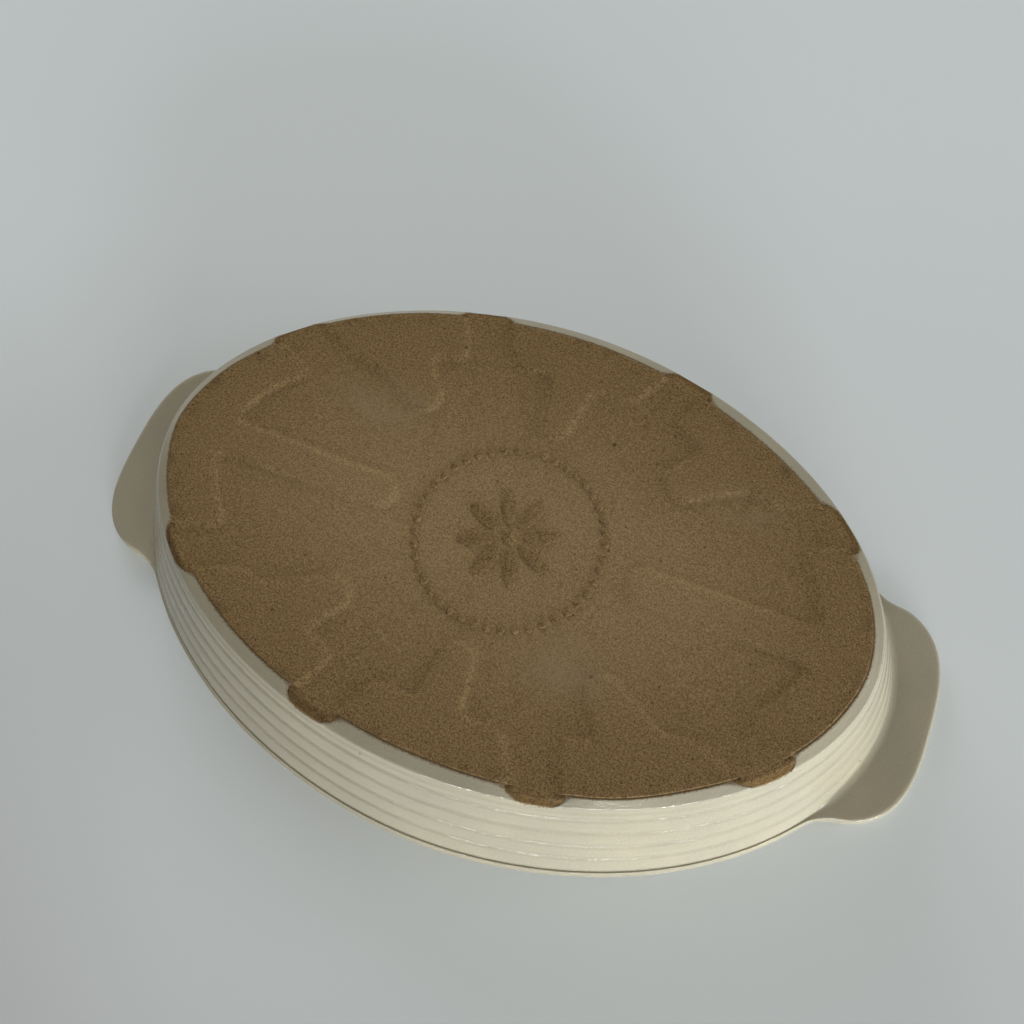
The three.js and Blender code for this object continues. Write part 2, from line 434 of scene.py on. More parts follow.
class Section:
    """The dish's section at any turn: the ledge, wall, rim and handles, as rows of points.

    Every row is given a depth into the clay, so that the glaze's two faces and the clay under it
    come from the same lines.
    """

    ledge_rows = (-0.3, 0.0, 0.25, 0.6, 1.1, 1.9, 2.9, 3.9, 4.5)
    arc_steps = 4
    low_wall_rows = (0.35, 0.7, 1.05, 1.5, 2.1)
    grooves = (9.8, 18.7, 27.6, 36.5)
    band_rows = (0.0, 0.06, 0.12, 0.19, 0.3, 0.5, 0.7, 0.81, 0.88, 0.94)
    groove_depth = 0.66
    groove_half_width = 0.7
    band_bulge = 0.3
    lip_fillet = 1.6
    lip_rounding = 0.9
    lug_rounding = 2.1
    # Points of the lip's groove and bead: how far out from the wall's line and how far below the rim they
    # are, mm, and their share of any further reach where the lip grows into a handle
    lip_line = (
        *((0.2, 4.7, 0.0), (0.25, 4.1, 0.0), (0.32, 3.5, 0.0), (0.4, 3.14, 0.0), (0.48, 2.99, 0.0)),
        *((0.56, 2.97, 0.0), (0.66, 3.02, 0.35), (0.82, 3.07, 0.65), (1.0, 3.08, 0.9)),
        *((1.2, 2.95, 1.0), (1.36, 2.65, 1.0), (1.45, 2.2, 1.0), (1.49, 1.75, 1.0), (1.5, 1.25, 1.0)),
    )
    arcs = {Detail.FINE: 5, Detail.COARSE: 2}
    flats = {Detail.FINE: (0.04, 0.35, 0.65, 0.9), Detail.COARSE: (0.5,)}
    least_rounding = 0.3
    handle_from, handle_to = 0.6, 9.0
    wall_start = 0.5
    # The coat's last rows inside the mouth: their share of the way down, and how far they sink, mm
    coat_end = ((0.5, 0.0), (0.85, 0.0), (0.95, 0.12), (1.0, 0.3))
    coat_waver = Waver(0.5, 15.0, 5.5)
    notch_wavers = (Waver(0.3, 5.0, 3.1), Waver(0.25, 1.9, 8.2))
    rib_waver = Waver(0.22, 34.0, 1.7)
    depth_wavers = tuple(Waver(0.3, 26.0, 11.3 + i) for i in range(4))
    notch_climb = 0.1
    notch_rounding = 4.5
    notch_root_half = 9.6
    notch_end_half = 7.4
    # How far out the wiped edge of the glaze lies, mm, all round, 15 degrees apart
    edge_shifts = (
        *(1.0, 0.6, 0.7, 0.8, 1.7, 0.6, -0.2, -0.3, 0.5, 0.6, 0.8, 1.0),
        *(2.0, 1.3, 0.6, 2.3, 2.4, 1.2, 1.1, 0.8, -0.2, -0.2, 0.4, 1.0),
    )
    corner_rounding = 3.0

    def __init__(self, form: DishForm) -> None:
        """Works out the lines that don't change with the turn.

        Args:
            form: The dish's sizes.
        """
        self.form = form
        self.edge = form.flange_edge()
        run = Vector((form.ledge_width, form.ledge_rise - form.ledge_start))
        self.ledge_way = run.normalized()
        self.wall_way = Vector((form.slope, 1.0)).normalized()
        self.ledge_in = Vector((-self.ledge_way.y, self.ledge_way.x))
        self.wall_in = Vector((-self.wall_way.y, self.wall_way.x))
        self.bend = self.ledge_way.angle(self.wall_way)
        self.tangent = form.edge_radius * math.tan(self.bend / 2)
        self.ledge_length = run.length - self.tangent
        self.arc_length = form.edge_radius * self.bend
        self.notch_end = self.ledge_length + self.arc_length + self.notch_climb

    def low_row_places(self) -> list[float]:
        """How far each low row is from the glaze's edge, measured along the surface, mm."""
        arc = [self.ledge_length + self.arc_length * share for share in steps(self.arc_steps)]
        wall = [self.ledge_length + self.arc_length + row for row in self.low_wall_rows]
        return [*self.ledge_rows, *arc, *wall]

    def edge_shift(self, turn: float) -> float:
        """How far out the wiped edge of the glaze lies at a turn, mm."""
        count = len(self.edge_shifts)
        place = turn / FULL_TURN * count % count
        low = int(place) % count
        start, end = self.edge_shifts[low], self.edge_shifts[(low + 1) % count]
        return lerp(start, end, smoothstep(0, 1, place - int(place)))

    def low_point(self, place: float, depth: float, turn: float) -> tuple[float, float]:
        """Half width and level of a point on the ledge or the foot of the wall.

        Args:
            place: How far it is from the glaze's edge along the surface, mm.
            depth: How far it is inside the glazed surface, mm.
            turn: The outline's own angle.

        Returns:
            Its half width and its level, mm.
        """
        form = self.form
        start = Vector((form.base - form.ledge_width, form.ledge_start))
        if place <= self.ledge_length:
            spot = start + self.ledge_way * place + self.ledge_in * depth
            shift = self.edge_shift(turn) * clamp01(1 - place / self.ledge_length)
            return spot.x + shift, spot.y
        corner = start + self.ledge_way * self.ledge_length
        centre = corner + self.ledge_in * form.edge_radius
        if place <= self.ledge_length + self.arc_length:
            share = (place - self.ledge_length) / self.arc_length
            turned = Matrix.Rotation(self.bend * share, 2) @ self.ledge_in
            spot = centre - turned * (form.edge_radius - depth)
            return spot.x, spot.y
        rest = place - self.ledge_length - self.arc_length
        spot = centre - self.wall_in * (form.edge_radius - depth) + self.wall_way * rest
        return spot.x, spot.y

    def notch(self, place: float, turn: float) -> float:
        """How far a low point is outside the nearest gap in the glaze, mm; negative in it."""
        half_width, _ = self.low_point(place, 0.0, turn)
        spot = self.form.oval.point(half_width, turn)
        ragged = sum(waver.at(spot) for waver in self.notch_wavers)
        half = lerp(self.notch_root_half, self.notch_end_half, clamp01(place / self.notch_end))
        across = self.form.channel_offset(spot.x, spot.y) - half + self.notch_rounding
        along = place - self.notch_end + self.notch_rounding
        outside = math.hypot(max(across, 0.0), max(along, 0.0))
        return min(max(across, along), 0.0) + outside - self.notch_rounding + ragged

    def flange(self, turn: float) -> tuple[Vector, Vector, float, float]:
        """Where the rim's flange starts and ends at a turn.

        Args:
            turn: The outline's own angle.

        Returns:
            Its root and its way outwards in plan, how far it reaches, and how much it is a handle,
            from 0 at the plain rim to 1.
        """
        form = self.form
        root = form.oval.point(form.wall(form.flange_level), turn)
        folded = math.atan2(abs(math.sin(turn)), abs(math.cos(turn)))
        edge = form.oval.point(form.rim, turn)
        if folded < form.blend_turn:
            place = folded / form.blend_turn * form.blend_steps
            low = min(int(place), form.blend_steps - 1)
            edge = self.edge[low].lerp(self.edge[low + 1], place - low)
            edge.x = math.copysign(edge.x, math.cos(turn))
            edge.y = math.copysign(edge.y, math.sin(turn))
        way = edge - root
        plain = form.rim - form.wall(form.flange_level)
        handle = smoothstep(self.handle_from, self.handle_to, way.length - plain)
        return root, way.normalized(), way.length, handle

    def band_offset(self, level: float, turn: float) -> float:
        """How far the ribbed wall stands out from its line, mm."""
        spot = self.form.oval.point(self.form.rim, turn)
        waver = self.rib_waver.at(spot)
        out = 0.0
        for groove, depth_waver in zip(self.grooves, self.depth_wavers):
            depth = self.groove_depth * (1 + depth_waver.at(spot))
            out -= depth * math.exp(-(((level - groove - waver) / self.groove_half_width) ** 2))
        stops = (self.form.ledge_rise, *self.grooves, self.form.height - self.form.lip_thickness)
        for low, high in zip(stops, stops[1:]):
            if low <= level - waver < high:
                share = (level - waver - low) / (high - low)
                out += self.band_bulge * 4 * share * (1 - share)
        return out

    def wall_rows(self, turn: float, depth: float, detail: Detail) -> list[Vector]:
        """Rows of the ribbed wall, from above the ledge's edge to where the flange begins.

        Args:
            turn: The outline's own angle.
            depth: How far they are inside the glazed surface, mm.
            detail: Whether they follow the ribs closely.

        Returns:
            The points, mm.
        """
        form = self.form
        handle = self.flange(turn)[3]
        under = form.height - lerp(form.lip_thickness, form.lug_thickness, handle)
        top = under - lerp(self.lip_fillet, form.lug_fillet, handle)
        low = self.low_point(self.low_row_places()[-1], 0.0, turn)[1]
        stops = [low + self.wall_start, *self.grooves, top]
        rows = []
        for start, end in zip(stops, stops[1:]):
            shares = self.band_rows if detail is Detail.FINE else (0.0,)
            rows += [lerp(start, end, share) for share in shares]
        points = []
        for level in rows:
            out = self.band_offset(level, turn) + depth / self.wall_in.x
            points.append(self.at(form.wall(level) + out, level, turn))
        return points

    def at(self, half_width: float, level: float, turn: float) -> Vector:
        """The point of a level's outline at a turn, in the frame, mm."""
        spot = self.form.oval.point(half_width, turn)
        return Vector((spot.x, spot.y, level))

    def quarter(self, detail: Detail) -> list[tuple[float, float]]:
        """Cosines and sines along a quarter arc."""
        angles = [share * math.pi / 2 for share in steps(self.arcs[detail])]
        return [(math.cos(angle), math.sin(angle)) for angle in angles]

    def flange_rows(self, turn: float, depth: float, detail: Detail) -> list[Vector]:
        """Rows of the rim's flange, or of a handle: its underside, edge and top, in to the mouth.

        Args:
            turn: The outline's own angle.
            depth: How far they are inside the glazed surface, mm.
            detail: Whether they follow its roundings closely.

        Returns:
            The points, mm.
        """
        form = self.form
        root, way, reach, handle = self.flange(turn)
        lip = self.flange_path(reach, depth, 0.0, detail)
        lug = self.flange_path(reach, depth, 1.0, detail)
        path = [(lerp(a[0], b[0], handle), lerp(a[1], b[1], handle)) for a, b in zip(lip, lug)]
        points = []
        for out, level in path:
            if out >= 0:
                spot = root + way * out
                points.append(Vector((spot.x, spot.y, level)))
            else:
                points.append(self.at(form.wall(form.flange_level) + out, level, turn))
        return points

    def flange_path(
        self, reach: float, depth: float, handle: float, detail: Detail
    ) -> list[tuple[float, float]]:
        """The section of a plain lip, with its bead and the groove over it, or of a handle.

        Args:
            reach: How far it reaches from the wall's line, mm.
            depth: How far it is inside the glazed surface, mm.
            handle: 0 for the plain lip, 1 for a handle.
            detail: Whether it follows the roundings closely.

        Returns:
            Distances from the wall's line and levels, mm.
        """
        form = self.form
        edge = max(lerp(self.lip_rounding, self.lug_rounding, handle) - depth, self.least_rounding)
        end, top = reach - depth - edge, form.height - depth
        if handle:
            path = self.lug_underside(end, edge, depth, detail)
        else:
            path = self.lip_outside(reach, depth, detail)
        path += [(end + edge * cosine, top - edge * (1 - sine)) for cosine, sine in self.quarter(detail)]
        mouth = form.rim_inside + form.rim_rounding - form.wall(form.flange_level)
        path += [(lerp(end, mouth, share), top) for share in self.flats[detail]]
        return path

    def lip_outside(self, reach: float, depth: float, detail: Detail) -> list[tuple[float, float]]:
        """The plain lip's groove and bead: lip_line, its outer part moved out by any further reach."""
        form = self.form
        further = reach - (form.rim - form.wall(form.flange_level))
        path = []
        for i, (out, below, share) in enumerate(self.lip_line):
            if detail is Detail.FINE or i % 2 == 0:
                on_bead = i > len(self.lip_line) / 3
                path.append((out + further * share - depth, form.height - below + depth * on_bead))
        return path

    def lug_underside(
        self, end: float, edge: float, depth: float, detail: Detail
    ) -> list[tuple[float, float]]:
        """A handle's fillet under the wall, its flat underside and the rounding at its end."""
        form = self.form
        under = form.height - form.lug_thickness + depth
        fillet = form.lug_fillet + depth
        root = (under - fillet - form.flange_level) * form.slope - depth / self.wall_way.y
        arc = self.quarter(detail)
        path = [(root + fillet * (1 - cosine), under - fillet * (1 - sine)) for cosine, sine in arc]
        path += [(lerp(path[-1][0], end, share), under) for share in self.flats[detail]]
        return path + [(end + edge * sine, under + edge * (1 - cosine)) for cosine, sine in arc]

    def mouth_rows(self, turn: float, depth: float, detail: Detail) -> list[Vector]:
        """Rows over the rim's inner edge and down to where the glaze ends."""
        form = self.form
        spot = form.oval.point(form.rim, turn)
        radius = form.rim_rounding - depth
        points = []
        for cosine, sine in self.quarter(detail):
            half_width = form.rim_inside + form.rim_rounding - radius * sine
            points.append(self.at(half_width, form.height - form.rim_rounding + radius * cosine, turn))
        drop = form.height - form.coat_drop + self.coat_waver.at(spot)
        for share, sink in self.coat_end:
            level = lerp(form.height - form.rim_rounding, drop, share)
            points.append(self.at(form.inner_wall(level) + depth + sink, level, turn))
        return points


def start_ring(bm: BMesh, count: int) -> list[BMEdge]:
    """A closed loop of count edges, to be extruded row by row."""
    made = bmesh.ops.create_circle(bm, segments=count, radius=1.0)
    return list(dict.fromkeys(edge for vert in made["verts"] for edge in vert.link_edges))


def extrude_row(bm: BMesh, ring: list[BMEdge]) -> list[BMEdge]:
    """Extrudes an open loop of edges and gives the new loop."""
    made = bmesh.ops.extrude_edge_only(bm, edges=ring)
    return [edge for edge in made["geom"] if isinstance(edge, BMEdge) and edge.is_boundary]


def ring_verts(ring: list[BMEdge]) -> list[BMVert]:
    """The vertices of a loop of edges, each once, in an order that is the same on every run."""
    return list(dict.fromkeys(vert for edge in ring for vert in edge.verts))


def placed(name: str, data: ID) -> Object:
    """A new object in the scene that shows a mesh, a lamp or a camera."""
    made = bpy.data.objects.new(name, data)
    bpy.context.scene.collection.objects.link(made)
    return made


def finished(bm: BMesh, name: str, finish: Material) -> Object:
    """Turns a bmesh drawn in millimetres into a piece in the frame.

    Args:
        bm: The shape; it is freed.
        name: The piece's name.
        finish: Its material.

    Returns:
        The piece, at the origin, with its place in its mesh.
    """
    bmesh.ops.scale(bm, vec=(MM, MM, MM), verts=bm.verts)
    bmesh.ops.recalc_face_normals(bm, faces=bm.faces)
    for face in bm.faces:
        face.smooth = True
    mesh = bpy.data.meshes.new(name)
    bm.to_mesh(mesh)
    bm.free()
    mesh.materials.append(finish)
    return placed(name, mesh)


@dataclass(frozen=True)
class BareStoneware:
    """Fired stoneware without glaze, pressed in a mould.

    It is matt, grainy and never one even brown: dark iron specks and pale grit show all over.
    """

    body: str = "#7b6446"
    middle: str = "#b69b76"
    dark_tone: str = "#4a3512"
    light_tone: str = "#9c845d"
    dark_speck: str = "#46362a"
    rubbed: str = "#8f7e65"
    # Multiplies the clay as painted shade along the glaze's edge and on the tabs
    painted_shade_tone: str = "#a89c7e"
    soot: str = "#4a3826"
    roughness: float = 0.9
    sheen: float = 0.15
    layers: tuple[Tones, ...] = (
        Tones(45.0, 3.0, 0.12, 0.15),
        Tones(6.0, 2.0, 0.1, 0.15),
        Tones(2.2, 1.0, 0.16, 0.15),
        Tones(0.936, 1.0, 0.4, 0.15),
        Tones(0.52, 0.0, 0.4, 0.15),
    )
    nets: tuple[Specks, ...] = (
        Specks(1.3, 0.88, 0.24, 0.85),
        Specks(2.6, 0.8, 0.19, 0.85),
        Specks(9.0, 0.7, 0.1, 0.85),
    )
    border_bare: float = 0.32
    smudge: float = 7.0
    smudge_from: float = 0.5
    smudge_to: float = 0.75
    smudge_strength: float = 0.6
    grit: float = 0.9
    grit_height: float = 0.25
    grit_strength: float = 0.35

    def material(self) -> Material:
        """Builds the material.

        Returns:
            The material, which reads the piece's border, painted_shade, rubbed and middle attributes.
        """
        made, tree, place = new_material("bare_stoneware")
        names = ("border", "painted_shade", "rubbed", "middle")
        marks = {name: add(tree, "Attribute", {}, "Fac", attribute_name=name) for name in names}
        ends = {MIX_SHARE: marks["middle"], MIX_A: srgb(self.body), MIX_B: srgb(self.middle)}
        colour = add(tree, "Mix", ends, **COLOURS)
        for layer in self.layers:
            colour = layer.over(tree, place, colour, self.dark_tone, self.light_tone)
        for net in self.nets:
            ends = {"Value": marks["border"], "To Min": net.bare, "To Max": net.bare * self.border_bare}
            colour = net.over(tree, place, colour, add(tree, "MapRange", ends), self.dark_speck)
        grit = add(tree, "TexNoise", {"Vector": place, "Scale": per_mm(self.grit), "Detail": 3.0})
        bump = {"Height": grit, "Strength": self.grit_strength, "Distance": self.grit_height * MM}
        look = {
            "Base Color": self.marked(tree, place, colour, marks),
            "Roughness": self.roughness,
            "Specular IOR Level": self.sheen,
            "Normal": add(tree, "Bump", bump),
        }
        feed(tree, tree.nodes["Principled BSDF"], look)
        return made

    def marked(self, tree: NodeTree, place: Any, colour: Any, marks: dict[str, Any]) -> Any:
        """The colour with rubbed patches, soot along the border, and painted shade along the glaze's edge and
        on the tabs between the glaze.
        """
        smudge = add(tree, "TexNoise", {"Vector": place, "Scale": per_mm(self.smudge), "Detail": 5.0})
        fade = {"From Min": self.smudge_from, "From Max": self.smudge_to, "To Max": self.smudge_strength}
        dirty = add(tree, "MapRange", {"Value": smudge, **fade})
        soot = add(tree, "Math", {0: dirty, 1: marks["border"]}, operation="MULTIPLY")
        for share, tone, blend in (
            (marks["rubbed"], self.rubbed, "MIX"),
            (soot, self.soot, "MIX"),
            # Painted shade: darkens the clay along the glaze's edge and on the tabs
            (marks["painted_shade"], self.painted_shade_tone, "MULTIPLY"),
        ):
            ends = {MIX_SHARE: share, MIX_A: colour, MIX_B: srgb(tone)}
            colour = add(tree, "Mix", ends, blend_type=blend, **COLOURS)
        return colour


@dataclass(frozen=True)
class CreamGlaze:
    """Glossy cream glaze on stoneware, dipped and fired.

    It is smooth like orange peel, breaks the light up along its edges, and has a few pinholes.
    """

    body: str = "#9a9582"
    warm_tone: str = "#aca287"
    cool_tone: str = "#848171"
    pinhole: str = "#5d503f"
    thin_tone: str = "#77603f"
    roughness: float = 0.11
    ior: float = 1.5
    layers: tuple[Tones, ...] = (Tones(22.0, 3.0, 0.3, 0.25), Tones(1.0, 2.0, 0.16, 0.25))
    pinholes: Specks = Specks(11.0, 0.6, 0.05, 1.0)
    crawl: float = 0.8
    crawl_amount: float = 1.4
    thin_from: float = 1.15
    thin_to: float = 1.6
    thin_strength: float = 0.8
    peel: float = 0.8
    line_length: float = 60.0
    line_width: float = 1.0
    line_amount: float = 0.8
    bump_height: float = 0.22
    bump_strength: float = 0.6

    def material(self) -> Material:
        """Builds the material.

        Returns:
            The material, which reads the piece's thin attribute.
        """
        made, tree, place = new_material("cream_glaze")
        colour: Any = srgb(self.body)
        for layer in self.layers:
            colour = layer.over(tree, place, colour, self.cool_tone, self.warm_tone)
        colour = self.pinholes.over(tree, place, colour, self.pinholes.bare, self.pinhole)
        look = {
            "Base Color": self.thinned(tree, place, colour),
            "Roughness": self.roughness,
            "IOR": self.ior,
            "Normal": self.bump(tree, place),
        }
        feed(tree, tree.nodes["Principled BSDF"], look)
        return made

    def thinned(self, tree: NodeTree, place: Any, colour: Any) -> NodeSocket:
        """The colour with the clay showing through where the glaze thins out at its edges."""
        thin = add(tree, "Attribute", {}, "Fac", attribute_name="thin")
        crawl = add(tree, "TexNoise", {"Vector": place, "Scale": per_mm(self.crawl), "Detail": 1.0})
        spread = add(tree, "Math", {0: crawl, 1: self.crawl_amount, 2: thin}, operation="MULTIPLY_ADD")
        fade = {"From Min": self.thin_from, "From Max": self.thin_to, "To Max": self.thin_strength}
        share = add(tree, "MapRange", {"Value": spread, **fade})
        return add(tree, "Mix", {MIX_SHARE: share, MIX_A: colour, MIX_B: srgb(self.thin_tone)}, **COLOURS)

    def bump(self, tree: NodeTree, place: Any) -> NodeSocket:
        """The peel of the glaze, and the long fine lines that run round the wall."""
        peel = add(tree, "TexNoise", {"Vector": place, "Scale": per_mm(self.peel), "Detail": 2.0})
        scale = (per_mm(self.line_length), per_mm(self.line_length), per_mm(self.line_width))
        stretched = add(tree, "VectorMath", {0: place, 1: scale}, operation="MULTIPLY")
        lines = add(tree, "TexNoise", {"Vector": stretched, "Scale": 1.0, "Detail": 2.0})
        height = add(tree, "Math", {0: lines, 1: self.line_amount, 2: peel}, operation="MULTIPLY_ADD")
        depth = {"Strength": self.bump_strength, "Distance": self.bump_height * MM}
        return add(tree, "Bump", {"Height": height, **depth})


@dataclass
class StonewareBody:
    """The bare clay body: its base with the pressed relief, its inside, and the core under the glaze.

    Attributes:
        form: The sizes that it shares with the glaze.
        section: The lines that it shares with the glaze.
        floor_rows: Rows of the inner floor, as shares of the way from its middle.
        hide_from: How far outside a gap in the glaze the clay starts to sink under it, mm.
        tab_end_from: How far from the ledge's edge a tab of bare clay starts to level off, mm.
        border_from: How far inside the bare clay's edge its soot starts to fade, mm.
        channel_clean: How much less soot a channel has, from 0 to 1.
        edge_shade: How much painted shade darkens the clay along the glaze, from 0 to 1.
        tab_shade: How much painted shade darkens it on a tab, from 0 to 1.
        middle_reach: How far inside the edge the clay has its middle tone, mm.
        shift_reach: How far inside the edge its unevenness is felt, mm.
        worn_patches: Rubbed patches of the base: x and y, half length and half width, mm.
    """

    form: DishForm
    section: Section
    grid_along: int = 260
    grid_across: int = 164
    ring_width: float = 21.5
    relief_depth: float = 1.1
    relief_slope: float = 2.7
    corner_rounding: float = 5.0
    foot_rounding: float = 1.2
    foot_drop: float = 0.4
    hidden_depth: float = 0.7
    bare_depth: float = 0.26
    tab_fall: float = 0.35
    foot_rows: tuple[float, ...] = (0.8, 0.5, 0.25, 0.08)
    floor_rows: tuple[float, ...] = (0.8, 0.6, 0.4, 0.2, 0.0)
    inner_steps: int = 7
    coat_clearance: float = 0.2
    floor_merge: float = 0.01
    finger_overlap: float = 3.0
    hide_from: float = -0.1
    hide_to: float = 0.9
    tab_end_from: float = -2.4
    tab_end_to: float = -0.3
    channel_blur: float = 2.0
    border_from: float = 0.5
    border_to: float = 8.0
    channel_clean: float = 0.9
    # Painted shade along the glaze's edge and on the tabs: its strength there, and where it fades, mm
    edge_shade: float = 0.5
    edge_shade_width: float = 0.6
    tab_shade: float = 0.7
    tab_shade_from: float = 0.8
    tab_shade_to: float = 3.0
    middle_reach: float = 75.0
    shift_reach: float = 12.0
    wear: float = 0.6
    wear_mean: float = 0.5
    wear_reach: float = 1.15
    outline_waver: Waver = Waver(0.45, 16.0, 0.4)
    slope_waver: Waver = Waver(0.45, 30.0, 6.6)
    level_waver: Waver = Waver(0.07, 22.0, 9.1)
    wear_wavers: tuple[Waver, ...] = (Waver(0.6, 12.0, 2.2), Waver(0.5, 4.0, 7.7))
    worn_patches: tuple[tuple[float, ...], ...] = (
        (-62.0, -31.0, 26.0, 13.0),
        (32.0, 36.0, 22.0, 15.0),
        (75.0, -40.0, 20.0, 10.0),
    )

    def __post_init__(self) -> None:
        """Works out the fingers, which end inside the foot ring."""
        ring = self.form.base - self.ring_width
        side_root = ring + self.finger_overlap
        end_root = side_root + self.form.oval.spread
        self.fingers = (
            Finger(angle=0.0, tip=43.0, tip_width=12.0, root_width=12.5, root=end_root),
            Finger(angle=90.0, tip=40.5, tip_width=11.0, root_width=16.0, root=side_root),
            Finger(angle=39.5, tip=57.0, tip_width=13.0, root_width=22.0, root=89.0),
        )

    def standing(self, x: float, y: float) -> float:
        """How far a plan point is from the raised relief of the base, mm; negative on it."""
        form = self.form
        along, across = abs(x), abs(y)
        ring = form.oval.inside(form.base - self.ring_width, along, across)
        channel = form.channel_offset(x, y) - form.channel_width / 2
        raised = soft_max(ring, -channel, self.corner_rounding)
        for finger in self.fingers:
            raised = soft_min(raised, finger.distance(along, across), self.corner_rounding)
        return raised + self.outline_waver.at(Vector((x, y)))

    def relief(self, x: float, y: float) -> float:
        """Level of the base at a plan point, from 0 on the raised foot."""
        spot = Vector((x, y))
        slope = self.relief_slope * (1 + self.slope_waver.at(spot))
        level = self.relief_depth * smoothstep(-slope / 2, slope / 2, self.standing(x, y))
        return max(level + self.level_waver.at(spot), 0.0)

    def foot_point(self, inside: float, turn: float) -> Vector:
        """A point near the foot's outer edge, where it rounds off towards the glaze.

        Args:
            inside: How far it is inside the foot's outline, mm.
            turn: The outline's own angle.

        Returns:
            The point, mm.
        """
        half_width = self.section.low_point(self.section.ledge_rows[0], 0.0, turn)[0] - inside
        spot = self.form.oval.point(half_width, turn)
        share = clamp01(1 - inside / self.foot_rounding)
        drop = self.foot_drop * (1 - math.sqrt(1 - share * share))
        spot.z = max(self.relief(spot.x, spot.y), drop)
        return spot

    def low_rows(self, turn: float) -> list[Vector]:
        """Rows under the glaze of the ledge, which come up to the surface in its gaps."""
        points = []
        for place in self.section.low_row_places():
            level = self.section.low_point(place, 0.0, turn)[1]
            hidden = smoothstep(self.hide_from, self.hide_to, self.section.notch(place, turn))
            flat = self.relief_depth + self.tab_fall * max(level - self.relief_depth, 0.0) - level
            end = smoothstep(self.tab_end_from, self.tab_end_to, place - self.section.ledge_length)
            depth = lerp(lerp(flat, max(flat, self.bare_depth), end), self.hidden_depth, hidden)
            if place <= self.section.ledge_length:
                half_width = self.section.low_point(place, 0.0, turn)[0]
                points.append(self.section.at(half_width, level + depth / self.section.ledge_way.x, turn))
            else:
                points.append(self.section.at(*self.section.low_point(place, depth, turn), turn))
        return points

    def inner_rows(self, turn: float) -> list[Vector]:
        """Rows of the inside: the wall below the glaze, the fillet and the floor."""
        form = self.form
        lean = math.atan(form.slope)
        centre_level = form.floor_top + form.floor_fillet
        centre = form.inner_wall(centre_level) - form.floor_fillet / math.cos(lean)
        points = []
        top = form.height - form.coat_drop - self.coat_clearance
        fillet_top = centre_level - form.floor_fillet * math.sin(lean)
        for share in steps(self.inner_steps)[:-1]:
            level = lerp(top, fillet_top, share)
            points.append(self.section.at(form.inner_wall(level), level, turn))
        for share in steps(self.inner_steps):
            angle = -lean - (math.pi / 2 - lean) * share
            level = centre_level + form.floor_fillet * math.sin(angle)
            points.append(self.section.at(centre + form.floor_fillet * math.cos(angle), level, turn))
        for share in self.floor_rows:
            points.append(self.section.at(centre * share, form.floor_top, turn))
        return points

    def rows(self, turn: float) -> list[Vector]:
        """All rows from the foot's edge out, up under the glaze, over the rim and down inside."""
        foot = [self.foot_point(inside, turn) for inside in self.foot_rows]
        low = self.low_rows(turn)
        wall = self.section.wall_rows(turn, self.hidden_depth, Detail.COARSE)
        flange = self.section.flange_rows(turn, self.hidden_depth, Detail.COARSE)
        mouth = self.section.mouth_rows(turn, self.hidden_depth, Detail.COARSE)[:-2]
        return [*foot, *low, *wall, *flange, *mouth, *self.inner_rows(turn)]

    def build(self, finish: Material) -> Object:
        """Models the body.

        Args:
            finish: Its material.

        Returns:
            The piece.
        """
        bm = bmesh.new()
        bmesh.ops.create_grid(bm, x_segments=self.grid_along, y_segments=self.grid_across, size=1.0)
        turn_layer = bm.verts.layers.float.new("turn")
        for vert in bm.verts:
            x, y = vert.co.x, vert.co.y
            round_x, round_y = x * math.sqrt(1 - y * y / 2), y * math.sqrt(1 - x * x / 2)
            turn, share = math.atan2(round_y, round_x), math.hypot(round_x, round_y)
            vert[turn_layer] = turn
            outline = self.foot_point(self.foot_rounding, turn)
            vert.co = Vector((outline.x * share, outline.y * share, 0.0))
            vert.co.z = self.relief(vert.co.x, vert.co.y)
        ring = [e for e in bm.edges if e.is_boundary]
        columns = {vert[turn_layer]: self.rows(vert[turn_layer]) for vert in ring_verts(ring)}
        for row in range(len(next(iter(columns.values())))):
            ring = extrude_row(bm, ring)
            for vert in ring_verts(ring):
                vert.co = columns[vert[turn_layer]][row]
        bmesh.ops.remove_doubles(bm, verts=ring_verts(ring), dist=self.floor_merge)
        self.mark(bm)
        return finished(bm, "stoneware_body", finish)

    def mark(self, bm: BMesh) -> None:
        """Writes where the clay is sooty, darkened by painted shade or rubbed as attributes of its vertices.
        """
        form = self.form
        names = ("border", "painted_shade", "rubbed", "middle")
        border, painted_shade, rubbed, middle = (bm.verts.layers.float.new(name) for name in names)
        edge = form.base - form.ledge_width
        for vert in bm.verts:
            x, y, z = vert.co
            if z > form.floor_top / 2:
                continue
            inside = form.oval.inside(edge, x, y)
            if inside < self.shift_reach:
                inside += self.section.edge_shift(form.oval.turn_of(edge, x, y))
            beside = form.channel_offset(x, y) - form.channel_width / 2
            in_channel = 1 - smoothstep(-self.channel_blur, self.channel_blur, beside)
            near_edge = 1 - smoothstep(self.border_from, self.border_to, inside)
            vert[border] = near_edge * (1 - self.channel_clean * in_channel)
            # Painted shade: a thin dark line just inside the glaze's edge, and darker tabs between the glaze
            at_edge = 1 - smoothstep(0.0, self.edge_shade_width, inside)
            on_tab = smoothstep(self.tab_shade_from, self.tab_shade_to, -inside)
            vert[painted_shade] = lerp(self.edge_shade * at_edge, self.tab_shade * on_tab, in_channel)
            vert[middle] = smoothstep(0.0, self.middle_reach, inside)
            nearest = min(
                math.hypot((x - patch_x) / long, (y - patch_y) / wide)
                for patch_x, patch_y, long, wide in self.worn_patches
            )
            uneven = self.wear_mean + sum(waver.at(vert.co) for waver in self.wear_wavers)
            vert[rubbed] = self.wear * (1 - smoothstep(0.0, self.wear_reach, nearest)) * clamp01(uneven)


